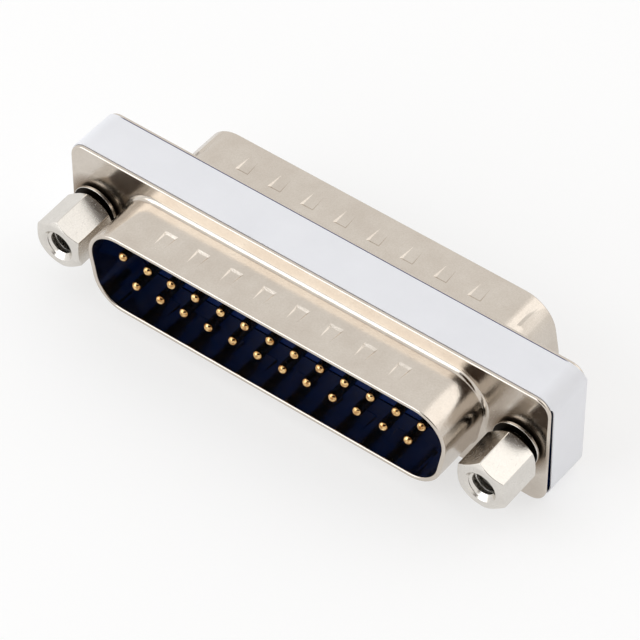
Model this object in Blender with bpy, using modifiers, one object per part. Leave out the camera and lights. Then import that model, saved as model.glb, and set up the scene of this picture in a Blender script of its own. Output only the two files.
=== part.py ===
"""Gender changer for 25-way D connectors, male to male, built piece by piece.

The long side runs along X, the front (with the hex jackscrews) faces -Y and +Z is up.
The part stands on the lower edges of its two flanges, with the origin below its middle.
"""

import math

import bmesh
import bpy
from mathutils import Matrix

MM = 0.001

# Driving dimensions in millimetres. The two rows of contacts set how long the whole part is.
CONTACT_PITCH = 2.77
ROW_SPACING = 2.84
LONG_ROW_COUNT = 13
ROW_LENGTH = (LONG_ROW_COUNT - 1) * CONTACT_PITCH

# The two drawn shells.
SKIRT_END = 3.28  # from the last contact of the long row to the end of the skirt
SCREW_OFFSET = 3.62  # from the end of the skirt to the jackscrew
FLANGE_END = 3.0  # from the jackscrew to the end of the flange
SKIRT_LENGTH = ROW_LENGTH + 2 * SKIRT_END
SCREW_SPACING = SKIRT_LENGTH + 2 * SCREW_OFFSET
FLANGE_LENGTH = SCREW_SPACING + 2 * FLANGE_END
FLANGE_HEIGHT = 12.8
FLANGE_CORNER_RADIUS = 1.6
SHEET = 0.45
BODY_DEPTH = 5.55  # from the outer face of one flange to the outer face of the other
SKIRT_HEIGHT = 9.2
SKIRT_DEPTH = 5.84  # how far the skirt stands out of its flange
SKIRT_CORNER_RADIUS = 3.4
SKIRT_SIDE_ANGLE = math.radians(10)
FOLD_RADIUS = 0.65  # outer radius of the bend from flange to skirt

# Grounding dimples pressed into both long sides of each skirt.
DIMPLE_COUNT = 8
DIMPLE_END = 6.95  # from the end of the skirt to the middle of the last dimple
DIMPLE_PITCH = (SKIRT_LENGTH - 2 * DIMPLE_END) / (DIMPLE_COUNT - 1)
DIMPLE_WIDTH = 1.3
DIMPLE_LENGTH = 1.8
DIMPLE_DEPTH = 0.22
DIMPLE_START = 2.2  # from the flange face to the steep end
DIMPLE_DRAFT = 0.12  # run of the steep end and of the side walls

# Contacts: round pins with a step that takes each one to the other row.
PIN_DIAMETER = 1.0
PIN_REACH = 5.38  # from the flange face to the pin's end
BEND_RADIUS = 0.9
PIN_CLEARANCE = 0.06

# Plastic insulators, one behind each flange, parted in the middle of the body.
NOSE_HEIGHT = 0.35  # how far the insulator stands out of the flange, inside the skirt
NOSE_CLEARANCE = 0.08
SEAT_GAP = 0.03
SLOT_MARGIN = 0.1

# Label band round the insulators.
LABEL_INSET = 0.1  # below the outline of the flanges
LABEL_THICKNESS = 0.12
LABEL_GAP = 0.03
LABEL_MARGIN = 0.12  # to the flange on each side
LABEL_SEAM = 0.4

# Jackscrews with their lock washers and press nuts.
THREAD_DIAMETER = 2.84
SCREW_CLEARANCE = 0.13
HEX_WIDTH = 4.85
HEX_LENGTH = 5.2
HEX_FACE_DIAMETER = 4.6
HEX_CHAMFER_ANGLE = math.radians(30)
HEX_TURNS = {"left": math.radians(3), "right": math.radians(5.5)}
BORE_DIAMETER = 2.5
BORE_DEPTH = 4.4
COUNTERSINK_DIAMETER = 3.6
SHANK_RECESS = 0.3  # from the rear flange face in to the end of the screw
SHANK_CHAMFER = 0.3
WASHER_DIAMETER = 4.8
WASHER_THICKNESS = 0.55
WASHER_SPLIT = 0.5
WASHER_SPLIT_ANGLE = math.radians(20)
NUT_WALL = 0.27  # plastic left between a nut and the end of its insulator
NUT_THICKNESS = 1.8
NUT_CHAMFER = 0.25
THREAD_GAP = 0.05

# What the sizes above give together.
INSULATOR_INSET = LABEL_INSET + LABEL_THICKNESS + LABEL_GAP  # below the outline of the flanges
INSULATOR_REACH = BODY_DEPTH / 2 - SHEET - SEAT_GAP
SCREW_HOLE_RADIUS = THREAD_DIAMETER / 2 + SCREW_CLEARANCE
NUT_RADIUS = FLANGE_END - INSULATOR_INSET - NUT_WALL - SEAT_GAP
MIDDLE_Z = FLANGE_HEIGHT / 2
LONG_ROW_Z = ROW_SPACING / 2
SPARE = 1.0  # how far a bar or a tool reaches past what it shapes

# How finely round shapes are cut.
CORNER_STEPS = 6
FOLD_STEPS = 3
BEND_STEPS = 3
TIP_STEPS = 3
TIP_START = math.radians(25)
HOLE_SIDES = 10
TURNED_SIDES = 24
SHARP_ANGLE = math.radians(35)  # edges steeper than this stay sharp


def clear_scene():
    """Remove what the scene holds and return the two collections of this part."""
    for obj in list(bpy.data.objects):
        bpy.data.objects.remove(obj, do_unlink=True)
    collections = []
    for name in ("gender_changer", "cutters"):
        collection = bpy.data.collections.new(name)
        bpy.context.scene.collection.children.link(collection)
        collections.append(collection)
    return collections


def make_material(name, colour, roughness, metallic):
    """Make a Principled material."""
    material = bpy.data.materials.new(name)
    material.use_nodes = True
    shader = material.node_tree.nodes["Principled BSDF"]
    shader.inputs["Base Color"].default_value = (*colour, 1)
    shader.inputs["Roughness"].default_value = roughness
    shader.inputs["Metallic"].default_value = metallic
    return material


def place(name, data, material=None, location=(0, 0, MIDDLE_Z), rotation=(0, 0, 0)):
    """Add an object at a location in millimetres, as a cutter where it has no material."""
    obj = bpy.data.objects.new(name, data)
    obj.location = [value * MM for value in location]
    obj.rotation_euler = rotation
    if material is None:
        cutters.objects.link(obj)
        obj.hide_render = True
        obj.display_type = "WIRE"
    else:
        parts.objects.link(obj)
        if not data.materials:
            data.materials.append(material)
    return obj


def cut(obj, tool, operation="DIFFERENCE"):
    """Add a Boolean with a tool to an object."""
    modifier = obj.modifiers.new(tool.name, "BOOLEAN")
    modifier.operation = operation
    modifier.object = tool


def shade_round(mesh):
    """Shade a mesh smooth, with sharp edges where faces meet at a steep angle."""
    mesh.shade_smooth()
    mesh.set_sharp_from_angle(angle=SHARP_ANGLE)


# Outlines, as lists of (x, z) points seen from the front


def circle(radius, sides, centre=(0, 0)):
    """Outline of a round hole or disc."""
    angles = [2 * math.pi * i / sides for i in range(sides)]
    return [(centre[0] + radius * math.cos(a), centre[1] + radius * math.sin(a)) for a in angles]


def arc(centre, radius, start, end, steps):
    """Points of an arc from one angle to another, both in degrees."""
    angles = [math.radians(start + (end - start) * i / steps) for i in range(steps + 1)]
    return [(centre[0] + radius * math.cos(a), centre[1] + radius * math.sin(a)) for a in angles]


def mirrored(right_half):
    """Close an outline whose right half runs from its top to its bottom."""
    return right_half + [(-x, z) for x, z in reversed(right_half)]


def rounded_rectangle(inset):
    """Outline of the flange, moved inward by an inset."""
    half_length = FLANGE_LENGTH / 2 - inset
    half_height = FLANGE_HEIGHT / 2 - inset
    radius = FLANGE_CORNER_RADIUS - inset
    top = (half_length - radius, half_height - radius)
    bottom = (half_length - radius, radius - half_height)
    return mirrored(arc(top, radius, 90, 0, CORNER_STEPS) + arc(bottom, radius, 0, -90, CORNER_STEPS))


def dimple_points():
    """X of the points that each dimple on the right half needs, with True where it is pressed in."""
    points = []
    for i in range(DIMPLE_COUNT):
        middle = (i - (DIMPLE_COUNT - 1) / 2) * DIMPLE_PITCH
        edge = DIMPLE_WIDTH / 2
        flat = edge - DIMPLE_DRAFT
        for offset, pressed in ((-edge, False), (-flat, True), (flat, True), (edge, False)):
            if middle + offset > 0:
                points.append((middle + offset, pressed))
    return points


def skirt_outline(offset, dent=None):
    """Outline of the D, moved outward by an offset.

    With a dent depth it has the points of the dimples too, pressed in by that depth.
    """
    angle = SKIRT_SIDE_ANGLE
    radius = SKIRT_CORNER_RADIUS
    half_height = SKIRT_HEIGHT / 2
    top_x = SKIRT_LENGTH / 2 - radius
    drop = 2 * (half_height - radius)
    bottom_x = top_x - drop * math.tan(angle)
    side = -math.degrees(angle)
    right = arc((top_x, half_height - radius), radius + offset, 90, side, CORNER_STEPS)
    right += arc((bottom_x, radius - half_height), radius + offset, side, -90, CORNER_STEPS)
    if dent is not None:
        level = half_height + offset
        top = [(x, level - dent * pressed) for x, pressed in dimple_points()]
        right = top + right + [(x, -z) for x, z in reversed(top)]
    return mirrored(right)


def pin_places():
    """(x, z) of each pin at the front, in the order of the contact numbers."""
    places = []
    for count, z in ((LONG_ROW_COUNT, LONG_ROW_Z), (LONG_ROW_COUNT - 1, -LONG_ROW_Z)):
        places += [((i - (count - 1) / 2) * CONTACT_PITCH, z) for i in range(count)]
    return places


def screw_places():
    """(x, z) of the two jackscrews."""
    return [(-SCREW_SPACING / 2, 0), (SCREW_SPACING / 2, 0)]


# Solids from outlines and profiles


def extruded(name, outlines, front, back, material=None):
    """Extrude flat outlines along Y, from one depth to another, into a mesh object."""
    curve = bpy.data.curves.new(name, "CURVE")
    curve.dimensions = "2D"
    curve.fill_mode = "BOTH"
    curve.extrude = (back - front) / 2 * MM
    for outline in outlines:
        spline = curve.splines.new("POLY")
        spline.points.add(len(outline) - 1)
        spline.use_cyclic_u = True
        for point, (x, z) in zip(spline.points, outline):
            point.co = (x * MM, z * MM, 0, 1)
    guide = bpy.data.objects.new(name + "_curve", curve)
    cutters.objects.link(guide)
    guide.rotation_euler.x = math.pi / 2
    guide.location = (0, (front + back) / 2 * MM, MIDDLE_Z * MM)
    bpy.context.view_layer.update()
    mesh = bpy.data.meshes.new_from_object(guide.evaluated_get(bpy.context.evaluated_depsgraph_get()))
    bm = bmesh.new()
    bm.from_mesh(mesh)
    bmesh.ops.remove_doubles(bm, verts=bm.verts, dist=0.000001)
    bmesh.ops.recalc_face_normals(bm, faces=bm.faces)
    bm.to_mesh(mesh)
    bm.free()
    shade_round(mesh)
    obj = place(name, mesh, material)
    obj.matrix_world = guide.matrix_world
    bpy.data.objects.remove(guide)
    return obj


def turned(name, profile, closed=False, material=None, location=(0, 0, 0)):
    """Turn a profile of (radius, height) points, height running forward, with a Screw modifier."""
    mesh = bpy.data.meshes.new(name)
    edges = [(i, i + 1) for i in range(len(profile) - 1)]
    if closed:
        edges.append((len(profile) - 1, 0))
    mesh.from_pydata([(r * MM, 0, h * MM) for r, h in profile], edges, [])
    obj = place(name, mesh, material, location, (math.pi / 2, 0, 0))
    screw = obj.modifiers.new("turn", "SCREW")
    screw.axis = "Z"
    screw.steps = TURNED_SIDES
    screw.render_steps = TURNED_SIDES
    screw.use_merge_vertices = True
    screw.merge_threshold = 0.00001
    return obj


# Shells


def shell_mesh():
    """Outer skin of one drawn shell, with its skirt toward -Y and its flange face at y = 0."""
    steep = DIMPLE_START + DIMPLE_DRAFT
    rows = [(-SKIRT_DEPTH, 0, 0), (-DIMPLE_START - DIMPLE_LENGTH, 0, 0), (-steep, 0, DIMPLE_DEPTH)]
    rows.append((-DIMPLE_START, 0, 0))
    for i in range(FOLD_STEPS + 1):
        turn = math.pi / 2 * i / FOLD_STEPS
        rows.append((FOLD_RADIUS * (math.sin(turn) - 1), FOLD_RADIUS * (1 - math.cos(turn)), 0))

    bm = bmesh.new()
    rings = []
    for y, offset, dent in rows:
        rings.append([bm.verts.new((x * MM, y * MM, z * MM)) for x, z in skirt_outline(offset, dent)])
    for near, far in zip(rings, rings[1:]):
        for i in range(len(near)):
            bm.faces.new((near[i - 1], near[i], far[i], far[i - 1]))

    edges = [bm.edges.get((rings[-1][i - 1], rings[-1][i])) for i in range(len(rings[-1]))]
    outlines = [rounded_rectangle(0)]
    outlines += [circle(SCREW_HOLE_RADIUS, TURNED_SIDES, at) for at in screw_places()]
    for outline in outlines:
        verts = [bm.verts.new((x * MM, 0, z * MM)) for x, z in outline]
        edges += [bm.edges.new((verts[i - 1], verts[i])) for i in range(len(verts))]
    filled = bmesh.ops.triangle_fill(bm, use_beauty=True, edges=edges, normal=(0, -1, 0))
    flange = [item for item in filled["geom"] if isinstance(item, bmesh.types.BMFace)]
    bm.normal_update()
    bmesh.ops.reverse_faces(bm, faces=[face for face in flange if face.normal.y > 0])

    mesh = bpy.data.meshes.new("shell")
    bm.to_mesh(mesh)
    bm.free()
    shade_round(mesh)
    return mesh


def add_shells():
    """Two like shells back to back, the rear one turned over with its wide side down."""
    mesh = shell_mesh()
    half = BODY_DEPTH / 2
    for name, y, turn in (("front_shell", -half, 0), ("rear_shell", half, math.pi)):
        shell = place(name, mesh, nickel, (0, y, MIDDLE_Z), (turn, 0, 0))
        solidify = shell.modifiers.new("sheet", "SOLIDIFY")
        solidify.thickness = SHEET * MM
        solidify.offset = -1
        solidify.use_even_offset = True


# Insulators


def insulator_cutters():
    """Cutters that both insulators share: pin holes, slots for the stepped contacts, screw holes."""
    reach = BODY_DEPTH / 2 + SKIRT_DEPTH
    radius = PIN_DIAMETER / 2 + PIN_CLEARANCE
    slot_depth = BEND_RADIUS + SLOT_MARGIN
    slot_top = LONG_ROW_Z + radius
    slots = []
    for x, _ in pin_places():
        slots.append([(x + a * radius, b * slot_top) for a, b in ((-1, -1), (1, -1), (1, 1), (-1, 1))])
    screw_holes = [circle(SCREW_HOLE_RADIUS, TURNED_SIDES, at) for at in screw_places()]
    tools = {}
    for side, turn in (("front", 1), ("rear", -1)):
        holes = [circle(radius, HOLE_SIDES, (x, z * turn)) for x, z in pin_places()]
        tools[side] = [
            extruded(side + "_pin_holes", holes, -reach, reach),
            extruded(side + "_slots", slots, -slot_depth, slot_depth),
            extruded(side + "_screw_holes", screw_holes, -reach, reach),
        ]
    return tools


def add_insulators():
    """Two insulators: a block behind the flange with a nose that fills the foot of the skirt."""
    tools = insulator_cutters()
    inner = SEAT_GAP / 2
    outer = INSULATOR_REACH
    nose_end = BODY_DEPTH / 2 + NOSE_HEIGHT
    nose_offset = -SHEET - NOSE_CLEARANCE
    for side, turn in (("front", -1), ("rear", 1)):
        nose = [(x, -z * turn) for x, z in skirt_outline(nose_offset)]
        block_span = sorted((turn * inner, turn * outer))
        nose_span = sorted((turn * (inner + outer) / 2, turn * nose_end))
        outline = rounded_rectangle(INSULATOR_INSET)
        block = extruded(side + "_insulator", [outline], *block_span, blue_plastic)
        cut(block, extruded(side + "_nose", [nose], *nose_span), "UNION")
        for tool in tools[side]:
            cut(block, tool)
        if side == "rear":
            pockets = [circle(NUT_RADIUS + SEAT_GAP, TURNED_SIDES, at) for at in screw_places()]
            pocket_floor = outer - NUT_THICKNESS - SEAT_GAP
            cut(block, extruded("nut_pockets", pockets, pocket_floor, nose_end))


# Label


def add_label():
    """Thin band wrapped round the insulators, with its seam underneath."""
    reach = BODY_DEPTH / 2 - SHEET - LABEL_MARGIN
    outlines = [rounded_rectangle(LABEL_INSET), rounded_rectangle(LABEL_INSET + LABEL_THICKNESS)]
    band = extruded("label", outlines, -reach, reach, white_label)
    half_seam = LABEL_SEAM / 2
    seam = [(-half_seam, -FLANGE_HEIGHT), (half_seam, -FLANGE_HEIGHT), (half_seam, 0), (-half_seam, 0)]
    cut(band, extruded("label_seam", [seam], -BODY_DEPTH, BODY_DEPTH))


# Contacts


def contact_curve():
    """One contact of the long front row: pin, step down to the other row, pin."""
    radius = PIN_DIAMETER / 2
    end = BODY_DEPTH / 2 + PIN_REACH
    front_half = []
    for i in range(TIP_STEPS):
        turn = TIP_START + (math.pi / 2 - TIP_START) * i / (TIP_STEPS - 1)
        front_half.append((radius * (1 - math.cos(turn)) - end, LONG_ROW_Z, math.sin(turn)))
    for i in range(BEND_STEPS + 1):
        turn = math.pi / 2 * i / BEND_STEPS
        y = BEND_RADIUS * (math.sin(turn) - 1)
        z = LONG_ROW_Z - BEND_RADIUS * (1 - math.cos(turn))
        front_half.append((y, z, 1))
    path = front_half + [(-y, -z, scale) for y, z, scale in reversed(front_half)]

    curve = bpy.data.curves.new("contact", "CURVE")
    curve.dimensions = "3D"
    curve.bevel_depth = radius * MM
    curve.bevel_resolution = 2
    curve.use_fill_caps = True
    spline = curve.splines.new("POLY")
    spline.points.add(len(path) - 1)
    for point, (y, z, scale) in zip(spline.points, path):
        point.co = (0, y * MM, z * MM, 1)
        point.radius = scale
    spline.use_smooth = True
    return curve


def add_contacts():
    """Place the 25 contacts: those of the short front row step up instead of down."""
    curve = contact_curve()
    for number, (x, z) in enumerate(pin_places(), start=1):
        turn = 0 if z > 0 else math.pi
        place(f"contact_{number:02d}", curve, gold, (x, 0, MIDDLE_Z), (0, turn, 0))


# Jackscrews, washers and nuts


def add_jackscrew(side, x, washer_front):
    """A jackscrew turned from hexagonal bar, with a threaded bore in its head and a threaded shank."""
    head_back = washer_front - SEAT_GAP
    shank = BODY_DEPTH / 2 - SHANK_RECESS - head_back
    shank_radius = THREAD_DIAMETER / 2
    face_radius = HEX_FACE_DIAMETER / 2
    corner_radius = HEX_WIDTH / math.sqrt(3) + SPARE
    chamfer = (corner_radius - face_radius) * math.tan(HEX_CHAMFER_ANGLE)

    bar = bpy.data.meshes.new(side + "_jackscrew")
    bm = bmesh.new()
    bar_radius = HEX_WIDTH / math.sqrt(3) * MM
    depth = HEX_LENGTH + shank + 2 * SPARE
    bmesh.ops.create_cone(
        bm, cap_ends=True, segments=6, radius1=bar_radius, radius2=bar_radius, depth=depth * MM
    )
    bmesh.ops.rotate(bm, verts=bm.verts, matrix=Matrix.Rotation(HEX_TURNS[side], 3, "Z"))
    bmesh.ops.translate(bm, verts=bm.verts, vec=(0, 0, (HEX_LENGTH - shank) / 2 * MM))
    bm.to_mesh(bar)
    bm.free()
    at = (x, head_back, MIDDLE_Z)
    screw = place("jackscrew_" + side, bar, steel, at, (math.pi / 2, 0, 0))

    blank = [
        (0, HEX_LENGTH),
        (face_radius, HEX_LENGTH),
        (corner_radius, HEX_LENGTH - chamfer),
        (corner_radius, chamfer),
        (face_radius, 0),
        (shank_radius, 0),
        (shank_radius, SHANK_CHAMFER - shank),
        (shank_radius - SHANK_CHAMFER, -shank),
        (0, -shank),
    ]
    cut(screw, turned(side + "_turned_blank", blank, location=at), "INTERSECT")

    bore = BORE_DIAMETER / 2
    flare = COUNTERSINK_DIAMETER / 2 - bore
    bore_profile = [
        (0, HEX_LENGTH + flare),
        (bore + 2 * flare, HEX_LENGTH + flare),
        (bore, HEX_LENGTH - flare),
        (bore, HEX_LENGTH - BORE_DEPTH),
        (0, HEX_LENGTH - BORE_DEPTH - bore * math.tan(HEX_CHAMFER_ANGLE)),
    ]
    cut(screw, turned(side + "_bore", bore_profile, location=at))


def add_washer(side, x, washer_back):
    """Split lock washer, pressed flat under the hex head."""
    radii = (WASHER_DIAMETER / 2, SCREW_HOLE_RADIUS)
    outlines = [circle(radius, TURNED_SIDES, (x, 0)) for radius in radii]
    front = washer_back - WASHER_THICKNESS
    washer = extruded("lock_washer_" + side, outlines, front, washer_back, steel)
    lean = math.tan(WASHER_SPLIT_ANGLE) * WASHER_DIAMETER
    left, right = x - WASHER_SPLIT / 2, x + WASHER_SPLIT / 2
    low = -WASHER_DIAMETER
    split = [(left, 0), (right, 0), (right - lean, low), (left - lean, low)]
    cut(washer, extruded(side + "_split", [split], -BODY_DEPTH, 0))


def add_nut(side, x):
    """Press nut behind the rear flange, in its pocket in the rear insulator."""
    inner = THREAD_DIAMETER / 2 + THREAD_GAP
    outer = NUT_RADIUS
    section = [
        (inner, NUT_THICKNESS),
        (outer - NUT_CHAMFER, NUT_THICKNESS),
        (outer, NUT_THICKNESS - NUT_CHAMFER),
        (outer, 0),
        (inner, 0),
    ]
    at = (x, INSULATOR_REACH, MIDDLE_Z)
    turned("press_nut_" + side, section, closed=True, material=steel, location=at)


def add_fasteners():
    """Jackscrew, lock washer and press nut at each end."""
    washer_back = -BODY_DEPTH / 2 - SEAT_GAP
    for side, (x, _) in zip(("left", "right"), screw_places()):
        add_washer(side, x, washer_back)
        add_jackscrew(side, x, washer_back - WASHER_THICKNESS)
        add_nut(side, x)


parts, cutters = clear_scene()
nickel = make_material("nickel_plated_sheet", (0.62, 0.57, 0.52), 0.25, 1.0)
steel = make_material("nickel_plated_steel", (0.72, 0.69, 0.66), 0.2, 1.0)
gold = make_material("gold_plated_brass", (0.85, 0.58, 0.25), 0.2, 1.0)
blue_plastic = make_material("dark_blue_plastic", (0.005, 0.012, 0.06), 0.35, 0.0)
white_label = make_material("white_label", (0.82, 0.83, 0.87), 0.5, 0.0)

add_shells()
add_insulators()
add_label()
add_contacts()
add_fasteners()
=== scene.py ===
import math
import random

import bpy
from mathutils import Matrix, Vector


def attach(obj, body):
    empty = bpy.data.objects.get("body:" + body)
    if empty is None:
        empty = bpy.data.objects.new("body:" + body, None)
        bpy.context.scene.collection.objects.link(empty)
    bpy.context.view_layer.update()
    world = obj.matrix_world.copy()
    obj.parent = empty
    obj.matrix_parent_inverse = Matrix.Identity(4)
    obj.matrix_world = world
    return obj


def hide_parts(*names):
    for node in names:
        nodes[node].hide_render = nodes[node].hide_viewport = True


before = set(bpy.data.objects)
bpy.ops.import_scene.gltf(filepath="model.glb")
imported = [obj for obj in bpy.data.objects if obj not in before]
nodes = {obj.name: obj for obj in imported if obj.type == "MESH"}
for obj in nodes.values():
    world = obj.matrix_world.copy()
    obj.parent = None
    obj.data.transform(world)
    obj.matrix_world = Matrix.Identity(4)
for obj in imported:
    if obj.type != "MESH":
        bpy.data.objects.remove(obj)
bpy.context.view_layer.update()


# Camera: a long lens from the upper right front, aimed at the middle of the front flange face.

CAMERA_AZIMUTH = math.radians(37.403)
CAMERA_ELEVATION = math.radians(46.966)
CAMERA_DISTANCE = 0.35782
CAMERA_TARGET = Vector((0.00122, -0.00185, 0.00639))
CAMERA_LENS = 226.7
CAMERA_SENSOR = 36.0
CAMERA_CLIP = 0.01

camera_data = bpy.data.cameras.new("camera")
camera_data.lens = CAMERA_LENS
camera_data.sensor_width = CAMERA_SENSOR
camera_data.clip_start = CAMERA_CLIP
camera = bpy.data.objects.new("camera", camera_data)
bpy.context.scene.collection.objects.link(camera)
camera.rotation_euler = (math.pi / 2 - CAMERA_ELEVATION, 0, CAMERA_AZIMUTH)
camera.location = CAMERA_TARGET + CAMERA_DISTANCE * Vector((
    math.sin(CAMERA_AZIMUTH) * math.cos(CAMERA_ELEVATION),
    -math.cos(CAMERA_AZIMUTH) * math.cos(CAMERA_ELEVATION),
    math.sin(CAMERA_ELEVATION),
))
bpy.context.scene.camera = camera


# Drawn shells: two like shells back to back, the rear one turned over. Each is stamped from one nickel-plated
# sheet: a flange with two screw holes, a D-shaped skirt drawn out of it and eight wedge-shaped grounding
# dimples pressed into both long sides. Everything is modelled in millimetres and brought to metres when done.

MM = 0.001
NEAR = 0.01  # how far off a corner may be and still be picked
FLAT = 0.99  # how squarely a face looks along an axis where it is picked as flat
MIDDLE_Z = 6.4
FLANGE_FACE_Y = -2.775
FLANGE_LENGTH = 53.04
FLANGE_HEIGHT = 12.8
FLANGE_CORNER_RADIUS = 1.6
FLANGE_CORNER_STEPS = 10
SHEET = 0.45
SKIRT_LENGTH = 39.8
SKIRT_HEIGHT = 9.2
SKIRT_DEPTH = 5.84
SKIRT_CORNER_RADIUS = 3.4
SKIRT_CORNER_STEPS = 12
SKIRT_CORNER_PROFILES = {1: 0.48, -1: 0.51}  # of the upper and the lower corners
SKIRT_SIDE_LEAN = math.radians(10)
FOLD_RADIUS = 0.52
FOLD_STEPS = 8
SCREW_SPACING = 47.04
SCREW_HOLE_RADIUS = 1.55
SCREW_HOLE_SIDES = 48
DIMPLE_COUNT = 8
DIMPLE_PITCH = 3.7
DIMPLE_WIDTH = 1.4
DIMPLE_START = 2.2  # from the flange's face to the dimple's steep end
DIMPLE_END = 4.1
DIMPLE_DEPTH = 0.15
DIMPLE_DRAFT = 0.24  # run of the steep end
DIMPLE_SIDE_DRAFT = 0.18  # run of the side walls
INNER_WALL_SHARE = 0.9  # of a dimple's depth, within which a corner counts to the straight inner wall
RIM_ROUND = 0.16
RIM_STEPS = 4
RIM_ANGLE = math.radians(70)
SHELL_SMOOTH_ANGLE = 27  # under the slope of a dimple's steep end, which stays crisp
GRAIN_DEPTH = 0.02
GRAIN_SHADE = (0.55, 0.52, 0.5)
GRAIN_SHARE = 0.12
GRAIN_RANGE = (0.35, 0.65)  # of the fine noise, from dark to light
CLOUD_RANGE = (0.3, 0.7)  # of the coarse noise, from dull to bright
MARK_TURNS = (0.4, 1.9, 2.7)
MARK_RANGE = (0.66, 0.74)  # of the noise that makes the handling marks
# Painted reflection: a dark brown ring on the front flange round each screw hole stands in for the hex posts' dark
# reflection.
HALO_START = 2.5
HALO_END = 3.7
HALO_SHARE = 0.8
PAINTED_REFLECTION_COLOUR = (0.13, 0.075, 0.03, 1)
HALO_ROUGHNESS = 0.15
MIX_A, MIX_B, MIX_RESULT = 6, 7, 2  # a Mix node's colour sockets


def pick(piece, kind, test):
    """Open a piece in edit mode with only the vertices, edges or faces selected that pass the test."""
    if bpy.context.mode != "OBJECT":
        bpy.ops.object.mode_set(mode="OBJECT")
    bpy.context.view_layer.objects.active = piece
    mesh = piece.data
    for items in (mesh.vertices, mesh.edges, mesh.polygons):
        items.foreach_set("select", [False] * len(items))
    for vert in mesh.vertices if kind == "VERT" else ():
        vert.select = test(vert.co)
    for edge in mesh.edges if kind == "EDGE" else ():
        edge.select = test(*(mesh.vertices[i].co for i in edge.vertices))
    for face in mesh.polygons if kind == "FACE" else ():
        face.select = test(face.center, face.normal)
    bpy.context.tool_settings.mesh_select_mode = [kind == mode for mode in ("VERT", "EDGE", "FACE")]
    bpy.ops.object.mode_set(mode="EDIT")


def everything(*_):
    return True


def nothing(*_):
    return False


def close_edit():
    if bpy.context.mode != "OBJECT":
        bpy.ops.object.mode_set(mode="OBJECT")


def only(*pieces):
    """Select only these pieces in object mode, the first one active."""
    close_edit()
    bpy.ops.object.select_all(action="DESELECT")
    for piece in pieces:
        piece.select_set(True)
    bpy.context.view_layer.objects.active = pieces[0]


def named(name):
    """Name the primitive that was just added, and put its place into its mesh."""
    piece = bpy.context.object
    piece.name = piece.data.name = name
    only(piece)
    bpy.ops.object.transform_apply(location=True, rotation=True, scale=True)
    return piece


def copied(piece, name, place=(0, 0, 0), turn=(0, 0, 0)):
    """A copy of a piece with a mesh of its own, moved and turned."""
    only(piece)
    bpy.ops.object.duplicate()
    bpy.context.object.location = place
    bpy.context.object.rotation_euler = turn
    return named(name)


def modify(piece, kind, **settings):
    """Add a modifier to a piece and apply it."""
    only(piece)
    modifier = piece.modifiers.new(kind, kind)
    for setting, value in settings.items():
        setattr(modifier, setting, value)
    bpy.ops.object.modifier_apply(modifier=modifier.name)


def smooth(piece, angle=35):
    """Shade a piece smooth up to an angle in degrees, with its flat faces kept flat."""
    only(piece)
    bpy.ops.object.shade_smooth_by_angle(angle=math.radians(angle))
    modify(piece, "WEIGHTED_NORMAL", keep_sharp=True)


def settle(piece, node):
    """Bring a finished piece to metres and put it on the part in place of a CAD node."""
    only(piece)
    piece.scale = (MM, MM, MM)
    bpy.ops.object.transform_apply(location=True, rotation=True, scale=True)
    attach(piece, "root")
    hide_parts(node)


def extrude(y, z=0):
    """Extrude what is selected, and leave its new end selected."""
    bpy.ops.mesh.extrude_region_move(TRANSFORM_OT_translate={"value": (0, y, z)})


def add_square(name, y):
    """A flat square of 2 by 2 mm on the middle line, facing forward."""
    close_edit()
    bpy.ops.mesh.primitive_plane_add(size=2, location=(0, y, MIDDLE_Z), rotation=(math.pi / 2, 0, 0))
    return named(name)


def add_plate_face(name, length, height, radius, y):
    """A flat face with round corners, facing forward."""
    piece = add_square(name, y)
    pick(piece, "VERT", everything)
    bpy.ops.transform.resize(value=(length / 2, 1, height / 2))
    bpy.ops.mesh.bevel(affect="VERTICES", offset=radius, segments=FLANGE_CORNER_STEPS, profile=0.5)
    close_edit()
    return piece


def add_d_face(name, grow, y):
    """A flat face with the outline of the D, grown all round by a distance, facing forward."""
    piece = add_square(name, y)
    radius = SKIRT_CORNER_RADIUS + grow
    half_height = SKIRT_HEIGHT / 2 + grow
    side = (SKIRT_LENGTH / 2 - SKIRT_CORNER_RADIUS) * math.cos(SKIRT_SIDE_LEAN) + radius
    side -= (SKIRT_HEIGHT / 2 - SKIRT_CORNER_RADIUS) * math.sin(SKIRT_SIDE_LEAN)
    for end in (1, -1):
        half_width = (side + end * half_height * math.sin(SKIRT_SIDE_LEAN)) / math.cos(SKIRT_SIDE_LEAN)
        pick(piece, "VERT", lambda at: (at.z - MIDDLE_Z) * end > 0)
        bpy.ops.transform.resize(value=(half_width, 1, 1))
        bpy.ops.transform.translate(value=(0, 0, end * (half_height - 1)))
    for end, profile in SKIRT_CORNER_PROFILES.items():
        tangent = radius / math.tan((math.pi / 2 - end * SKIRT_SIDE_LEAN) / 2)
        pick(piece, "VERT", lambda at: (at.z - MIDDLE_Z) * end > 0)
        bpy.ops.mesh.bevel(affect="VERTICES", offset=tangent, segments=SKIRT_CORNER_STEPS, profile=profile)
    close_edit()
    return piece


def add_group(name, inputs, outputs):
    """An empty node group with float inputs and outputs besides its vector input."""
    group = bpy.data.node_groups.new(name, "ShaderNodeTree")
    group.interface.new_socket("Vector", in_out="INPUT", socket_type="NodeSocketVector")
    for title, default in inputs.items():
        socket = group.interface.new_socket(title, in_out="INPUT", socket_type="NodeSocketFloat")
        socket.default_value = default
    for title in outputs:
        group.interface.new_socket(title, in_out="OUTPUT", socket_type="NodeSocketFloat")
    return group, group.nodes.new("NodeGroupInput"), group.nodes.new("NodeGroupOutput")


def add_node(tree, kind, *links, **settings):
    """Add a node, set its properties and inputs, and link (source socket, input) pairs into it."""
    node = tree.nodes.new(kind)
    for setting, value in settings.items():
        if hasattr(node, setting):
            setattr(node, setting, value)
        else:
            node.inputs[setting.replace("_", " ")].default_value = value
    for source, target in links:
        tree.links.new(source, node.inputs[target])
    return node


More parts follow.
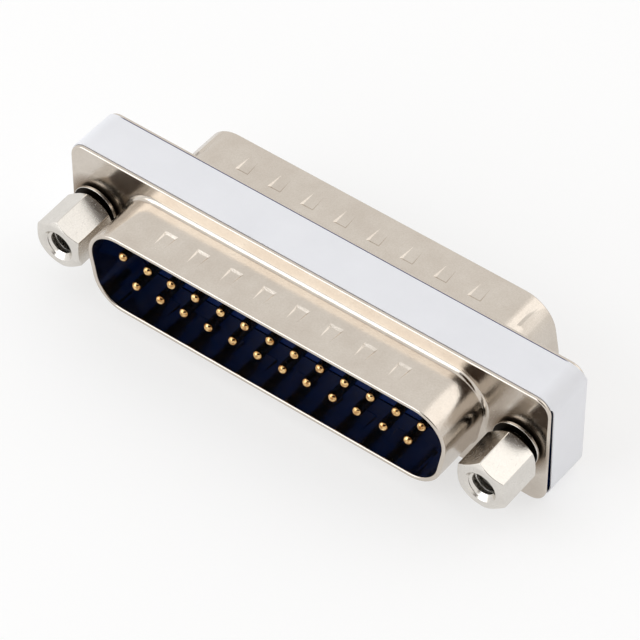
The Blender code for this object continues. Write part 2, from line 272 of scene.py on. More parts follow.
def add_ramp(tree, source, *stops):
    """A colour ramp over a value, from (position, colour) stops."""
    ramp = add_node(tree, "ShaderNodeValToRGB", (source, "Fac"))
    for element, (position, colour) in zip(ramp.color_ramp.elements, stops):
        element.position = position
        element.color = (*colour, 1)
    return ramp.outputs["Color"]


def add_range(tree, source, low, high, start=0.0, end=1.0):
    """A value mapped to low and high from where it starts and ends."""
    node = add_node(tree, "ShaderNodeMapRange", (source, "Value"))
    for socket, value in (("From Min", start), ("From Max", end), ("To Min", low), ("To Max", high)):
        node.inputs[socket].default_value = value
    return node.outputs["Result"]


speckle, speckle_in, speckle_out = add_group(
    "plating_speckle", {"Grain Size": 0.2, "Cloud Size": 3.0}, ("Grain", "Cloud")
)
for part, size, detail in (("Grain", "Grain Size", 3.0), ("Cloud", "Cloud Size", 4.0)):
    scale = add_node(speckle, "ShaderNodeMath", (speckle_in.outputs[size], 1), operation="DIVIDE")
    scale.inputs[0].default_value = 1.0
    noise = add_node(
        speckle, "ShaderNodeTexNoise",
        (speckle_in.outputs["Vector"], "Vector"), (scale.outputs["Value"], "Scale"),
        Detail=detail, Roughness=0.6,
    )
    speckle.links.new(noise.outputs["Fac"], speckle_out.inputs[part])

marks, marks_in, marks_out = add_group("handling_marks", {"Length": 3.0, "Width": 0.08}, ("Mask",))
combined = None
for angle in MARK_TURNS:
    turned = add_node(
        marks, "ShaderNodeVectorRotate", (marks_in.outputs["Vector"], "Vector"), rotation_type="EULER_XYZ",
        Rotation=(angle, angle * 2, angle * 3),
    )
    split = add_node(marks, "ShaderNodeSeparateXYZ", (turned.outputs["Vector"], "Vector"))
    parts = []
    for axis, size in (("X", "Length"), ("Y", "Width"), ("Z", "Width")):
        ratio = add_node(
            marks, "ShaderNodeMath", (split.outputs[axis], 0), (marks_in.outputs[size], 1), operation="DIVIDE"
        )
        parts.append(ratio.outputs["Value"])
    streak = add_node(marks, "ShaderNodeCombineXYZ", *zip(parts, "XYZ"))
    noise = add_node(marks, "ShaderNodeTexNoise", (streak.outputs["Vector"], "Vector"), Scale=0.6, Detail=1.0)
    line = add_range(marks, noise.outputs["Fac"], 0.0, 1.0, *MARK_RANGE)
    if combined is None:
        combined = line
    else:
        both = add_node(marks, "ShaderNodeMath", (combined, 0), (line, 1), operation="MAXIMUM")
        combined = both.outputs["Value"]
marks.links.new(combined, marks_out.inputs["Mask"])


def add_finish(name, dull, bright, roughness, grain_size, cloud_size, grain_strength):
    """A material with clouded colour and gloss and a fine grain: it, its shader, its place in mm and its grain."""
    material = bpy.data.materials.new(name)
    material.use_nodes = True
    tree = material.node_tree
    shader = tree.nodes["Principled BSDF"]
    place = tree.nodes.new("ShaderNodeTexCoord")
    mapping = add_node(tree, "ShaderNodeMapping", (place.outputs["Object"], "Vector"), Scale=(1 / MM,) * 3)
    vector = mapping.outputs["Vector"]
    grain = add_node(
        tree, "ShaderNodeGroup", (vector, "Vector"),
        node_tree=speckle, Grain_Size=grain_size, Cloud_Size=cloud_size,
    )
    colour = add_ramp(tree, grain.outputs["Cloud"], *zip(CLOUD_RANGE, (dull, bright)))
    gloss = add_range(tree, grain.outputs["Cloud"], *roughness, *CLOUD_RANGE)
    bump = add_node(
        tree, "ShaderNodeBump", (grain.outputs["Grain"], "Height"),
        Strength=grain_strength, Distance=GRAIN_DEPTH * MM,
    )
    for source, socket in ((colour, "Base Color"), (gloss, "Roughness"), (bump.outputs["Normal"], "Normal")):
        tree.links.new(source, shader.inputs[socket])
    return material, shader, vector, grain.outputs["Grain"]


def source_of(shader, socket):
    """The output that feeds a socket of a shader."""
    return shader.inputs[socket].links[0].from_socket


def add_metal(name, wear, **finish):
    """A plated metal: a clouded finish, darker in its grain, and with its gloss changed by faint handling marks."""
    material, shader, vector, grain = add_finish(name, **finish)
    tree = material.node_tree
    fine = add_range(tree, grain, 0.0, 1.0, *GRAIN_RANGE)
    shade = add_ramp(tree, fine, (0.0, GRAIN_SHADE), (1.0, (1, 1, 1)))
    colour = add_node(
        tree, "ShaderNodeMix", (source_of(shader, "Base Color"), MIX_A), (shade, MIX_B),
        data_type="RGBA", blend_type="MULTIPLY", Factor=GRAIN_SHARE,
    )
    tree.links.new(colour.outputs[MIX_RESULT], shader.inputs["Base Color"])
    scratch = add_node(tree, "ShaderNodeGroup", (vector, "Vector"), node_tree=marks)
    worn = add_node(
        tree, "ShaderNodeMath", (scratch.outputs["Mask"], 0), (source_of(shader, "Roughness"), 2),
        operation="MULTIPLY_ADD",
    )
    worn.inputs[1].default_value = wear
    tree.links.new(worn.outputs["Value"], shader.inputs["Roughness"])
    shader.inputs["Metallic"].default_value = 1.0
    return material


def add_painted_halo(material):
    """Paint a dark reflection of the hex posts as a brown ring round the two screw holes of the front flange, and dull
    the gloss there.
    """
    tree = material.node_tree
    shader = tree.nodes["Principled BSDF"]
    place = tree.nodes.new("ShaderNodeTexCoord")
    split = add_node(tree, "ShaderNodeSeparateXYZ", (place.outputs["Object"], "Vector"))
    across = add_node(tree, "ShaderNodeMath", (split.outputs["X"], 0), operation="ABSOLUTE")
    offset = add_node(tree, "ShaderNodeCombineXYZ", (across.outputs["Value"], "X"), (split.outputs["Z"], "Z"))
    radius = add_node(tree, "ShaderNodeVectorMath", (offset.outputs["Vector"], 0), operation="DISTANCE")
    radius.inputs[1].default_value = (SCREW_SPACING / 2 * MM, 0, MIDDLE_Z * MM)
    ring = add_range(tree, radius.outputs["Value"], 1.0, 0.0, HALO_START * MM, HALO_END * MM)
    front = add_range(tree, split.outputs["Y"], 1.0, 0.0, FLANGE_FACE_Y * MM, (FLANGE_FACE_Y + SHEET) * MM)
    mask = add_node(tree, "ShaderNodeMath", (ring, 0), (front, 1), operation="MULTIPLY")
    share = add_range(tree, mask.outputs["Value"], 0.0, HALO_SHARE)
    # Painted reflection: the ring's colour is mixed towards dark brown.
    painted_halo = add_node(
        tree, "ShaderNodeMix", (share, "Factor"), (source_of(shader, "Base Color"), MIX_A), data_type="RGBA"
    )
    painted_halo.inputs[MIX_B].default_value = PAINTED_REFLECTION_COLOUR
    tree.links.new(painted_halo.outputs[MIX_RESULT], shader.inputs["Base Color"])
    dull = add_node(
        tree, "ShaderNodeMath", (mask.outputs["Value"], 0), (source_of(shader, "Roughness"), 2),
        operation="MULTIPLY_ADD",
    )
    dull.inputs[1].default_value = HALO_ROUGHNESS
    tree.links.new(dull.outputs["Value"], shader.inputs["Roughness"])


sheet_nickel = add_metal(
    "satin_nickel_sheet", dull=(0.60, 0.54, 0.475), bright=(0.66, 0.605, 0.54), roughness=(0.14, 0.2),
    grain_size=0.16, cloud_size=2.5, grain_strength=0.3, wear=0.08,
)
add_painted_halo(sheet_nickel)
# Painted shade: the same nickel made darker, for the inside of the shells.
inner_nickel_shaded = add_metal(
    "nickel_inside_shaded", dull=(0.52, 0.47, 0.42), bright=(0.58, 0.53, 0.48), roughness=(0.1, 0.15),
    grain_size=0.2, cloud_size=2.5, grain_strength=0.12, wear=0.05,
)

# The fold and the skirt are drawn out of the D's outline, with a ring of edges at each end of the dimples.
front_shell = add_d_face("front_drawn_shell", FOLD_RADIUS, FLANGE_FACE_Y)
pick(front_shell, "FACE", everything)
for step in range(FOLD_STEPS):
    begin, end = (math.pi / 2 * i / FOLD_STEPS for i in (step, step + 1))
    bpy.ops.mesh.inset(
        thickness=FOLD_RADIUS * (math.sin(end) - math.sin(begin)),
        depth=FOLD_RADIUS * (math.cos(begin) - math.cos(end)),
    )
reach = FOLD_RADIUS
for depth in (DIMPLE_START, DIMPLE_START + DIMPLE_DRAFT, DIMPLE_END, SKIRT_DEPTH):
    extrude(reach - depth)
    reach = depth
bpy.ops.mesh.delete(type="ONLY_FACE")

# The flange is a flat fill between its own outline, the two screw holes and the fold.
plate = add_plate_face("plate", FLANGE_LENGTH, FLANGE_HEIGHT, FLANGE_CORNER_RADIUS, FLANGE_FACE_Y)
pick(plate, "FACE", everything)
bpy.ops.mesh.delete(type="ONLY_FACE")
outlines = [plate]
for x in (-SCREW_SPACING / 2, SCREW_SPACING / 2):
    close_edit()
    bpy.ops.mesh.primitive_circle_add(
        vertices=SCREW_HOLE_SIDES, radius=SCREW_HOLE_RADIUS,
        location=(x, FLANGE_FACE_Y, MIDDLE_Z), rotation=(math.pi / 2, 0, 0),
    )
    outlines.append(named("screw_hole"))
only(front_shell, *outlines)
bpy.ops.object.join()
pick(front_shell, "EDGE", nothing)
bpy.ops.mesh.select_non_manifold(use_multi_face=False, use_non_contiguous=False, use_verts=False)
close_edit()
for edge in front_shell.data.edges:
    if any(front_shell.data.vertices[i].co.y < FLANGE_FACE_Y - FOLD_RADIUS for i in edge.vertices):
        edge.select = False
bpy.ops.object.mode_set(mode="EDIT")
bpy.ops.mesh.fill(use_beauty=True)
pick(front_shell, "FACE", lambda at, normal: normal.y > FLAT)
bpy.ops.mesh.flip_normals()

# Each dimple is outlined by four lines across both long sides and two slanting walls, then pressed in.
half_dimple = DIMPLE_WIDTH / 2
half_floor = half_dimple - DIMPLE_SIDE_DRAFT
dimple_start_y = FLANGE_FACE_Y - DIMPLE_START
dimple_floor_y = dimple_start_y - DIMPLE_DRAFT
dimple_end_y = FLANGE_FACE_Y - DIMPLE_END
wall_ends = ((half_dimple, dimple_floor_y), (half_floor, dimple_end_y))
for number in range(DIMPLE_COUNT):
    middle = (number - (DIMPLE_COUNT - 1) / 2) * DIMPLE_PITCH
    for line in (-half_dimple, -half_floor, half_floor, half_dimple):
        pick(front_shell, "FACE", lambda at, normal: abs(normal.z) > FLAT and dimple_end_y < at.y < dimple_start_y)
        bpy.ops.mesh.bisect(plane_co=(middle + line, 0, 0), plane_no=(1, 0, 0))
    pick(front_shell, "VERT", lambda at: any(
        abs(abs(at.x - middle) - x) < NEAR and abs(at.y - y) < NEAR for x, y in wall_ends
    ))
    bpy.ops.mesh.vert_connect()
    pick(front_shell, "VERT", lambda at: abs(at.x - middle) < half_floor + NEAR
         and abs(at.y - dimple_floor_y) < NEAR)
    bpy.ops.transform.resize(value=(1, 1, 1 - 2 * DIMPLE_DEPTH / SKIRT_HEIGHT))
    pick(front_shell, "FACE", lambda at, normal: half_floor < abs(at.x - middle) < half_dimple
         and dimple_floor_y < at.y < dimple_start_y)
    bpy.ops.mesh.quads_convert_to_tris(quad_method="LONGEST_DIAGONAL")

# The surface gets the sheet's thickness, its inner wall is straightened between the dimples and its rims rounded.
front_shell.data.materials.append(sheet_nickel)
front_shell.data.materials.append(inner_nickel_shaded)
modify(front_shell, "SOLIDIFY", thickness=SHEET, offset=-1, use_even_offset=True, material_offset=1)
for end in (-1, 1):
    wall_z = MIDDLE_Z + end * (SKIRT_HEIGHT / 2 - SHEET)
    pick(front_shell, "VERT", lambda at: abs(at.z - wall_z) < DIMPLE_DEPTH * INNER_WALL_SHARE
         and dimple_end_y - SHEET < at.y < dimple_start_y + SHEET)
    bpy.ops.transform.resize(value=(1, 1, 0), center_override=(0, 0, wall_z))
modify(
    front_shell, "BEVEL", width=RIM_ROUND, segments=RIM_STEPS, limit_method="ANGLE", angle_limit=RIM_ANGLE,
    use_clamp_overlap=False,
)
smooth(front_shell, SHELL_SMOOTH_ANGLE)
rear_shell = copied(front_shell, "rear_drawn_shell", (0, 0, 2 * MIDDLE_Z), (math.pi, 0, 0))
settle(front_shell, "front_shell")
settle(rear_shell, "rear_shell")


# Insulators: the two dark blue mouldings that hold the contacts, behind each flange and in the foot of each
# skirt. Only their floors and thin lines beside the label show, and the solids have their shape already.

PLASTIC_SPECULAR = 0.05

plastic, shader, vector, grain = add_finish(
    "dark_blue_moulding", dull=(0.0005, 0.010, 0.065), bright=(0.001, 0.015, 0.09), roughness=(0.28, 0.4),
    grain_size=0.12, cloud_size=1.5, grain_strength=0.15,
)
shader.inputs["Specular IOR Level"].default_value = PLASTIC_SPECULAR


def refinish(name, material):
    """Give a CAD node, whose shape is right, a better material."""
    nodes[name].data.materials.clear()
    nodes[name].data.materials.append(material)


refinish("front_insulator", plastic)
refinish("rear_insulator", plastic)


# Label: one band of thin white vinyl wrapped round the plastic between the flanges, its ends meeting underneath.
# It is bare and sits a little askew at the right end, so that the plastic shows there beside the front flange.
# Along its rear edge the vinyl is coloured dark blue in a thin line.

LABEL_LIFT = 0.11
LABEL_INSET = 0.1
LABEL_THICKNESS = 0.1
LABEL_FRONT_Y = -2.42
LABEL_REAR_Y = 2.4
LABEL_SEAM = 0.4
LABEL_FRONT_SKEW = 0.2
LABEL_FRONT_SKEW_STARTS = ((0, 1), (MIDDLE_Z, 0.05), (0, 1))  # lowest height, and distance from the right end
LABEL_REAR_SKEW = 0.35
LABEL_REAR_SKEW_STARTS = (0.9, 0.5, 0.25, 0.05, -0.02, -0.06)  # distances from the right end
LABEL_LINE = 0.09
LABEL_LINE_SOFTNESS = 0.01
LABEL_LINE_FADE = 0.5
LABEL_LINE_COLOUR = (0.03, 0.035, 0.12, 1)

vinyl, shader, vector, grain = add_finish(
    "white_label_vinyl", dull=(0.79, 0.80, 0.84), bright=(0.83, 0.84, 0.88), roughness=(0.38, 0.5),
    grain_size=0.25, cloud_size=6.0, grain_strength=0.1,
)
tree = vinyl.node_tree
split = add_node(tree, "ShaderNodeSeparateXYZ", (vector, "Vector"))
across = add_node(tree, "ShaderNodeMath", (split.outputs["X"], 0), operation="ABSOLUTE")
line_end = FLANGE_LENGTH / 2 - FLANGE_CORNER_RADIUS
line_y = LABEL_REAR_Y - LABEL_LINE
along = add_range(tree, across.outputs["Value"], 1.0, 0.0, line_end - LABEL_LINE_FADE, line_end)
rear = add_range(tree, split.outputs["Y"], 0.0, 1.0, line_y - LABEL_LINE_SOFTNESS, line_y)
line = add_node(tree, "ShaderNodeMath", (along, 0), (rear, 1), operation="MULTIPLY")
bordered = add_node(
    tree, "ShaderNodeMix", (line.outputs["Value"], "Factor"), (source_of(shader, "Base Color"), MIX_A),
    data_type="RGBA",
)
bordered.inputs[MIX_B].default_value = LABEL_LINE_COLOUR
tree.links.new(bordered.outputs[MIX_RESULT], shader.inputs["Base Color"])

label = add_plate_face(
    "white_label_band", FLANGE_LENGTH + 2 * LABEL_LIFT, FLANGE_HEIGHT + 2 * LABEL_LIFT,
    FLANGE_CORNER_RADIUS + LABEL_LIFT, LABEL_FRONT_Y,
)
pick(label, "VERT", lambda at: at.z < MIDDLE_Z)
bpy.ops.transform.translate(value=(0, 0, LABEL_LIFT + LABEL_INSET))
pick(label, "FACE", everything)
extrude(LABEL_REAR_Y - LABEL_FRONT_Y)
pick(label, "FACE", lambda at, normal: abs(normal.y) > FLAT)
bpy.ops.mesh.delete(type="ONLY_FACE")
for x in (-LABEL_SEAM / 2, LABEL_SEAM / 2):
    pick(label, "FACE", lambda at, normal: at.z < LABEL_INSET + NEAR)
    bpy.ops.mesh.bisect(plane_co=(x, 0, 0), plane_no=(1, 0, 0))
pick(label, "FACE", lambda at, normal: at.z < LABEL_INSET + NEAR and abs(at.x) < LABEL_SEAM / 2)
bpy.ops.mesh.delete(type="FACE")
for low, inset in LABEL_FRONT_SKEW_STARTS:
    pick(label, "VERT", lambda at: at.x > FLANGE_LENGTH / 2 - inset and low < at.z < low + MIDDLE_Z and at.y < 0)
    bpy.ops.transform.translate(value=(0, LABEL_FRONT_SKEW, 0))
for inset in LABEL_REAR_SKEW_STARTS:
    pick(label, "VERT", lambda at: at.x > FLANGE_LENGTH / 2 - inset and at.y > 0)
    bpy.ops.transform.translate(value=(0, LABEL_REAR_SKEW / len(LABEL_REAR_SKEW_STARTS), 0))
pick(label, "FACE", everything)
bpy.ops.mesh.normals_make_consistent(inside=False)
modify(label, "SOLIDIFY", thickness=LABEL_THICKNESS, offset=-1, use_even_offset=True)
smooth(label)
label.data.materials.append(vinyl)
settle(label, "label")


# Contacts: 25 gold-plated pins. Each one passes through both mouldings and steps to the other row on its way,
# because the rear shell is turned over. They are turned from brass wire, with rounded tips, and none is quite
# straight.

PIN_RADIUS = 0.5
PIN_SIDES = 20
PIN_REACH = 5.1
PIN_TIP = 0.46
PIN_SWAY = 0.07
PIN_SWAY_SEED = 25
PIN_SMOOTH_ANGLE = 60
CONTACT_PITCH = 2.77
CONTACT_ROWS = ((13, 1), (12, -1))  # how many, and whether they start in the upper or the lower row
ROW_SPACING = 2.84
BEND_RADIUS = 0.9
BEND_STEPS = 6
TIP_STEPS = 6
TIP_FLAT = 0.6  # of a step, left flat at the very tip

gold = add_metal(
    "gold_plating", dull=(0.30, 0.10, 0.01), bright=(0.98, 0.72, 0.36), roughness=(0.05, 0.1),
    grain_size=0.3, cloud_size=0.3, grain_strength=1.0, wear=0.05,
)
front_row_z = MIDDLE_Z + ROW_SPACING / 2
rear_row_z = MIDDLE_Z - ROW_SPACING / 2
pin_end_y = -FLANGE_FACE_Y + PIN_REACH

bpy.ops.object.select_all(action="DESELECT")
bpy.ops.mesh.primitive_circle_add(
    vertices=PIN_SIDES, radius=PIN_RADIUS, fill_type="NGON",
    location=(0, -BEND_RADIUS, front_row_z), rotation=(math.pi / 2, 0, 0),
)
contact = named("contact")
pick(contact, "FACE", everything)


def extrude_pin(direction):
    """Extrude the selected end of the pin to its full reach and round its tip."""
    extrude(direction * (pin_end_y - PIN_TIP - BEND_RADIUS))
    ring, depth = 1.0, 0.0
    for step in range(1, TIP_STEPS + 1):
        turn = math.pi / 2 * step / (TIP_STEPS + TIP_FLAT)
        extrude(direction * (PIN_TIP * math.sin(turn) - depth))
        bpy.ops.transform.resize(value=(math.cos(turn) / ring, 1, math.cos(turn) / ring))
        ring, depth = math.cos(turn), PIN_TIP * math.sin(turn)


extrude_pin(-1)
pick(contact, "FACE", lambda at, normal: normal.y > FLAT)
bpy.ops.mesh.spin(
    steps=BEND_STEPS, angle=math.pi / 2, axis=(1, 0, 0), center=(0, -BEND_RADIUS, front_row_z - BEND_RADIUS)
)
extrude(0, 2 * BEND_RADIUS - ROW_SPACING)
bpy.ops.mesh.spin(
    steps=BEND_STEPS, angle=-math.pi / 2, axis=(1, 0, 0), center=(0, BEND_RADIUS, rear_row_z + BEND_RADIUS)
)
extrude_pin(1)
smooth(contact, PIN_SMOOTH_ANGLE)
contact.data.materials.append(gold)

sway = random.Random(PIN_SWAY_SEED)
number = 0
for count, row in CONTACT_ROWS:
    for i in range(count):
        number += 1
        x = (i - (count - 1) / 2) * CONTACT_PITCH
        if row == 1:
            pin = copied(contact, f"pin_{number:02d}", (x, 0, 0))
        else:
            pin = copied(contact, f"pin_{number:02d}", (x, 0, 2 * MIDDLE_Z), (0, math.pi, 0))
        for direction in (-1, 1):
            pick(pin, "VERT", lambda at: at.y * direction > pin_end_y - PIN_TIP - NEAR)
            sway_x = sway.uniform(-PIN_SWAY, PIN_SWAY)
            sway_z = sway.uniform(-PIN_SWAY, PIN_SWAY)
            bpy.ops.transform.translate(value=(sway_x, 0, sway_z))
        settle(pin, f"contact_{number:02d}")
bpy.data.objects.remove(contact, do_unlink=True)


# Lock washers: a split ring of spring steel under each hex post, pressed flat against the front flange. Its edge is
# broken all round, at the back the most. Its flat faces are painted near black, a painted shade for the dark gap under
# the hex, and its rim is plated bright.

SIDES = {"left": -SCREW_SPACING / 2, "right": SCREW_SPACING / 2}
ROD_SIDES = 64
WASHER_BACK_Y = -2.805
WASHER_THICKNESS = 0.55
WASHER_RADIUS = 2.4
WASHER_BACK_RADIUS = 2.05
WASHER_TAPER_START = 0.26  # from the front face to where the edge starts to narrow
WASHER_SPLIT = 0.5
WASHER_SPLIT_DEPTH = 4
WASHER_SPLIT_LEAN = math.radians(20)
WASHER_HOLE_FRONT_Y = -5
WASHER_BEVEL = 0.07
WASHER_BEVEL_STEPS = 3
WASHER_BEVEL_ANGLE = math.radians(60)
WASHER_BACK_FACING = 0.3  # how far a face looks back at least, to be painted near black as shade
MERGE_DISTANCE = 0.001

bright_nickel = add_metal(
    "bright_nickel_steel", dull=(0.68, 0.65, 0.605), bright=(0.74, 0.71, 0.665), roughness=(0.18, 0.25),
    grain_size=0.14, cloud_size=1.2, grain_strength=0.15, wear=0.08,
)
# Painted shade: a near-black steel for the washers' flat faces, the collars and the hexes' back faces, standing in for
# the dark gap under each hex post.
painted_shade_steel = add_metal(
    "painted_shade_black_steel", dull=(0.010, 0.006, 0.003), bright=(0.022, 0.014, 0.008), roughness=(0.4, 0.55),
    grain_size=0.14, cloud_size=1.2, grain_strength=0.2, wear=-0.1,
)


def cut(piece, tool, operation="DIFFERENCE"):
    """Cut a piece with a tool, remove the tool and merge the corners that fall together."""
    modify(piece, "BOOLEAN", object=tool, operation=operation, solver="EXACT")
    bpy.data.objects.remove(tool, do_unlink=True)
    pick(piece, "VERT", everything)
    bpy.ops.mesh.remove_doubles(threshold=MERGE_DISTANCE)
    close_edit()


def darken(piece, test):
    """Plate a piece with bright nickel, and paint the faces that pass the test near black as shade."""
    piece.data.materials.append(bright_nickel)
    piece.data.materials.append(painted_shade_steel)
    pick(piece, "FACE", test)
    piece.active_material_index = 1
    bpy.ops.object.material_slot_assign()
    close_edit()


def add_rod(name, radius, begin, end, at, sides=ROD_SIDES):
    """A round rod along Y from one depth to another, at a place along X on the middle line."""
    close_edit()
    bpy.ops.mesh.primitive_cylinder_add(
        vertices=sides, radius=radius, depth=end - begin,
        location=(at, (begin + end) / 2, MIDDLE_Z), rotation=(math.pi / 2, 0, 0),
    )
    return named(name)


for side, x in SIDES.items():
    front_y = WASHER_BACK_Y - WASHER_THICKNESS
    washer = add_rod("split_washer_" + side, WASHER_RADIUS, front_y, front_y + WASHER_TAPER_START, x)
    pick(washer, "FACE", lambda at, normal: normal.y > FLAT)
    extrude(WASHER_THICKNESS - WASHER_TAPER_START)
    narrower = WASHER_BACK_RADIUS / WASHER_RADIUS
    bpy.ops.transform.resize(value=(narrower, 1, narrower))
    close_edit()
    cut(washer, add_rod("hole", SCREW_HOLE_RADIUS, WASHER_HOLE_FRONT_Y, 0, x))
    split_x = x - math.sin(WASHER_SPLIT_LEAN) * WASHER_RADIUS
    split_z = MIDDLE_Z - math.cos(WASHER_SPLIT_LEAN) * WASHER_RADIUS
    bpy.ops.mesh.primitive_cube_add(
        size=1, scale=(WASHER_SPLIT, WASHER_SPLIT_DEPTH, WASHER_RADIUS * 2),
        location=(split_x, WASHER_BACK_Y, split_z), rotation=(0, WASHER_SPLIT_LEAN, 0),
    )
    cut(washer, named("split"))
    modify(
        washer, "BEVEL", width=WASHER_BEVEL, segments=WASHER_BEVEL_STEPS,
        limit_method="ANGLE", angle_limit=WASHER_BEVEL_ANGLE,
    )
    smooth(washer)
    darken(washer, lambda at, normal: normal.y < -FLAT or normal.y > WASHER_BACK_FACING)
    settle(washer, "lock_washer_" + side)


# Jackscrews: hex posts turned from hexagonal bar, chamfered at both ends, with a threaded bore in the front and a
# shank that goes through both flanges. Bar edges are broken, and the mouth of the bore is countersunk. A narrow
# collar, painted near black as shade for the gap between hex and washer, keeps the hex off the washer, and the hex
# sits a little low and askew on its shank.

HEX_WIDTH = 4.85
HEX_LENGTH = 4.9
HEX_TURNS = {"left": math.radians(3), "right": math.radians(5.5)}
HEX_SHIFTS = {"left": (0.14, -0.14), "right": (0.2, -0.33)}
HEX_DROOP = math.radians(2)
HEX_EDGE = 0.09
HEX_EDGE_STEPS = 3
HEX_BACK_Y = -3.85
HEX_SPARE = 1  # length and width that are turned away
TURNED_SIDES = 96
TURNED_EDGE = 0.035
TURNED_EDGE_STEPS = 2
TURNED_EDGE_ANGLE = math.radians(24)
COLLAR_RADIUS = 1.7
COLLAR_BACK_Y = WASHER_BACK_Y - WASHER_THICKNESS
FACE_RADIUS = 2.3
CHAMFER_ANGLE = math.radians(30)
SHANK_RADIUS = 1.42
SHANK_END_Y = 2.475
SHANK_CHAMFER = 0.3
BORE_RADIUS = 1.18
BORE_DEPTH = 4.4
COUNTERSINK_RADIUS = 1.66
COUNTERSINK_SPARE = 0.2
THREAD_PITCH = 0.635
THREAD_RADIUS = 0.33  # of the circle round the thread's three-cornered section
THREAD_TURNS = 8
THREAD_STEPS = 28


def add_post(side, x, front_y):
    """The bar with its turned chamfers, its collar and its shank."""
    corner = HEX_WIDTH / math.sqrt(3)
    post = add_rod("hex_post_" + side, corner, front_y - HEX_SPARE, SHANK_END_Y + HEX_SPARE, 0, sides=6)
    pick(post, "EDGE", lambda a, b: abs(a.y - b.y) > HEX_LENGTH)
    bpy.ops.mesh.bevel(affect="EDGES", offset=HEX_EDGE, segments=HEX_EDGE_STEPS)
    only(post)
    post.location.z = -MIDDLE_Z
    named(post.name)
    post.rotation_euler.y = -HEX_TURNS[side]
    post.location = (x, 0, MIDDLE_Z)
    named(post.name)

    wide = corner + HEX_SPARE
    slope = (wide - FACE_RADIUS) * math.tan(CHAMFER_ANGLE)
    shift_x, shift_z = HEX_SHIFTS[side]
    blank = add_rod(
        "blank", SHANK_RADIUS, COLLAR_BACK_Y, SHANK_END_Y - SHANK_CHAMFER, x - shift_x, sides=TURNED_SIDES
    )
    pick(blank, "VERT", everything)
    bpy.ops.transform.translate(value=(0, 0, -shift_z))
    pick(blank, "FACE", lambda at, normal: normal.y > FLAT)
    extrude(SHANK_CHAMFER)
    narrower = (SHANK_RADIUS - SHANK_CHAMFER) / SHANK_RADIUS
    bpy.ops.transform.resize(value=(narrower, 1, narrower))
    pick(blank, "FACE", lambda at, normal: normal.y < -FLAT)
    radius = SHANK_RADIUS
    for length, wanted, move in (
        (0, COLLAR_RADIUS, 0), (COLLAR_BACK_Y - HEX_BACK_Y, COLLAR_RADIUS, 0), (0, FACE_RADIUS, 1),
        (slope, wide, 0), (HEX_LENGTH - 2 * slope, wide, 0), (slope, FACE_RADIUS, 0),
    ):
        extrude(-length)
        bpy.ops.transform.resize(value=(wanted / radius, 1, wanted / radius))
        bpy.ops.transform.translate(value=(move * shift_x, 0, move * shift_z))
        radius = wanted
    close_edit()
    cut(post, blank, "INTERSECT")
    modify(
        post, "BEVEL", width=TURNED_EDGE, segments=TURNED_EDGE_STEPS,
        limit_method="ANGLE", angle_limit=TURNED_EDGE_ANGLE, use_clamp_overlap=False,
    )
    return post


def add_thread(x, front_y):
    """A three-cornered section wound along the bore, whose cut leaves the thread."""
    bpy.ops.mesh.primitive_circle_add(
        vertices=3, radius=THREAD_RADIUS, location=(BORE_RADIUS, 0, -THREAD_PITCH),
        rotation=(math.pi / 2, math.pi / 2, 0),
    )
    thread = named("thread")
    steps = THREAD_STEPS * THREAD_TURNS
    modify(
        thread, "SCREW", axis="Z", angle=math.tau * THREAD_TURNS, screw_offset=THREAD_PITCH * THREAD_TURNS,
        iterations=1, steps=steps, render_steps=steps,
    )
    pick(thread, "VERT", everything)
    bpy.ops.mesh.fill_holes(sides=3)
    bpy.ops.mesh.normals_make_consistent(inside=False)
    close_edit()
    thread.rotation_euler.x = -math.pi / 2
    thread.location = (x, front_y, MIDDLE_Z)
    return named("thread")


for side, x in SIDES.items():
    front_y = HEX_BACK_Y - HEX_LENGTH
    post = add_post(side, x, front_y)
    cut(post, add_rod("bore", BORE_RADIUS, front_y - HEX_SPARE, front_y + BORE_DEPTH, x))
    cone = COUNTERSINK_RADIUS + COUNTERSINK_SPARE
    bpy.ops.mesh.primitive_cone_add(
        vertices=ROD_SIDES, radius1=cone, radius2=0, depth=cone,
        location=(x, front_y - COUNTERSINK_SPARE + cone / 2, MIDDLE_Z), rotation=(-math.pi / 2, 0, 0),
    )
    cut(post, named("countersink"))
    cut(post, add_thread(x, front_y))
    # The collar and the hex's back face are painted near black as shade.
    darken(post, lambda at, normal: HEX_BACK_Y - NEAR < at.y < COLLAR_BACK_Y + NEAR)
    shift_x, shift_z = HEX_SHIFTS[side]
    droop = math.sin(HEX_DROOP)
    post.rotation_euler.x = HEX_DROOP
    post.location = (shift_x, MIDDLE_Z * droop, shift_z - COLLAR_BACK_Y * droop)
    named(post.name)
    smooth(post)
    settle(post, "jackscrew_" + side)

# The nuts inside the rear moulding, which hold the shanks, keep the shape of their solids.
for side in SIDES:
    refinish("press_nut_" + side, bright_nickel)


# Table and light: a white table in a pale room, a large soft lamp in front on the left, and two behind on the
# right, the smaller in front of the larger. A dark card stands round the front right, above the table, where the
# camera doesn't see it, and gives polished metal its dark reflections.

PALE_RAYS = ("Is Camera Ray", "Is Glossy Ray", "Is Transmission Ray")
TABLE_SIZE = 6
TABLE_Z = -0.00002
TABLE_GLOW = 0.6
TABLE_ROUGHNESS = 0.9
CARD_DISTANCE = 0.5
CARD_BASE = 0.24
CARD_HEIGHT = 0.76
CARD_START = math.radians(262)
CARD_END = math.radians(350)
CARD_SIDES = 180
CARD_COLOUR = (0.04, 0.018, 0.005, 1)
ROOM_COLOUR = (1.0, 0.99, 0.975, 1)
ROOM_LIGHT = 0.9


def add_ray_switch(tree, others, pale):
    """One value for rays that see the table or room itself or in a gloss, and another for the light that they give."""
    path = tree.nodes.new("ShaderNodeLightPath")
    seen = path.outputs[PALE_RAYS[0]]
    for ray in PALE_RAYS[1:]:
        either = add_node(tree, "ShaderNodeMath", (seen, 0), (path.outputs[ray], 1), operation="MAXIMUM")
        seen = either.outputs["Value"]
    return add_range(tree, seen, others, pale)


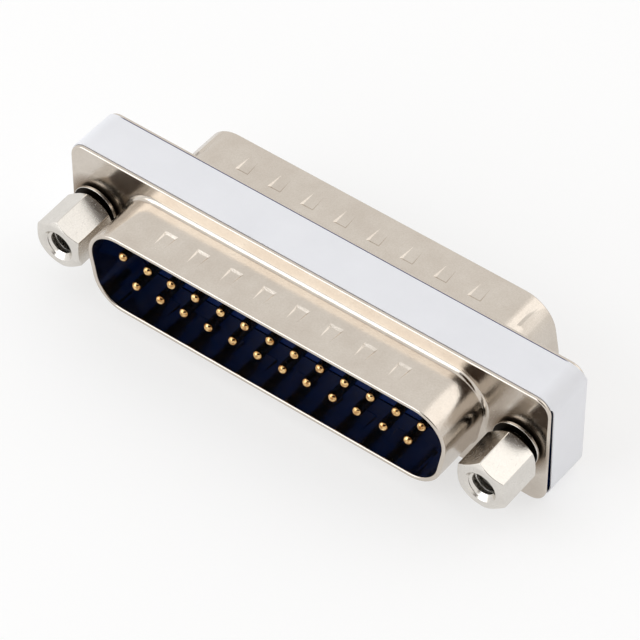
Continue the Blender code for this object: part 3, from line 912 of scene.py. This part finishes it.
def add_matt(name, roughness):
    """A plain material without gloss, with its tree and shader."""
    material = bpy.data.materials.new(name)
    material.use_nodes = True
    shader = material.node_tree.nodes["Principled BSDF"]
    shader.inputs["Roughness"].default_value = roughness
    shader.inputs["Specular IOR Level"].default_value = 0.0
    return material, material.node_tree, shader


bpy.ops.mesh.primitive_plane_add(size=TABLE_SIZE, location=(0, 0, TABLE_Z))
table = bpy.context.object
table.name = "table"
paper, tree, shader = add_matt("white_table", TABLE_ROUGHNESS)
tree.links.new(add_ray_switch(tree, 1.0, 1.0 - TABLE_GLOW), shader.inputs["Base Color"])
shader.inputs["Emission Color"].default_value = (1, 1, 1, 1)
tree.links.new(add_ray_switch(tree, 0.0, TABLE_GLOW), shader.inputs["Emission Strength"])
table.data.materials.append(paper)

bpy.ops.mesh.primitive_cylinder_add(
    vertices=CARD_SIDES, radius=CARD_DISTANCE, depth=CARD_HEIGHT, end_fill_type="NOTHING",
    location=(0, 0, CARD_BASE + CARD_HEIGHT / 2),
)
card = named("dark_card")
pick(card, "FACE", lambda at, normal: not CARD_START < math.atan2(at.y, at.x) % math.tau < CARD_END)
bpy.ops.mesh.delete(type="FACE")
close_edit()
card.visible_camera = False
felt, tree, shader = add_matt("dark_felt", 1.0)
shader.inputs["Base Color"].default_value = CARD_COLOUR
card.data.materials.append(felt)


def add_lamp(name, azimuth, elevation, distance, size, radiance, colour):
    """A rectangular soft lamp of a given radiance, facing the part."""
    data = bpy.data.lights.new(name, "AREA")
    data.color = colour
    data.shape = "RECTANGLE"
    data.size, data.size_y = size
    data.energy = radiance * math.pi * size[0] * size[1]
    lamp = bpy.data.objects.new(name, data)
    bpy.context.scene.collection.objects.link(lamp)
    azimuth, elevation = math.radians(azimuth), math.radians(elevation)
    lamp.location = (
        distance * math.cos(azimuth) * math.cos(elevation),
        distance * math.sin(azimuth) * math.cos(elevation),
        distance * math.sin(elevation),
    )
    lamp.rotation_euler = (math.pi / 2 - elevation, 0, azimuth + math.pi / 2)


add_lamp(
    "front_left_lamp", azimuth=237, elevation=31, distance=0.6, size=(0.56, 0.46), radiance=1.75,
    colour=(0.92, 0.96, 1.0),
)
add_lamp(
    "back_right_lamp", azimuth=50, elevation=39, distance=0.6, size=(0.54, 0.5), radiance=0.25,
    colour=(1.0, 0.97, 0.94),
)
add_lamp(
    "back_right_core", azimuth=50, elevation=41, distance=0.59, size=(0.26, 0.34), radiance=0.35,
    colour=(1.0, 0.98, 0.95),
)

world = bpy.data.worlds.new("pale_room")
bpy.context.scene.world = world
world.use_nodes = True
tree = world.node_tree
background = tree.nodes["Background"]
background.inputs["Color"].default_value = ROOM_COLOUR
tree.links.new(add_ray_switch(tree, ROOM_LIGHT, 1.0), background.inputs["Strength"])

bpy.context.scene.view_settings.view_transform = "Standard"

bpy.context.view_layer.update()
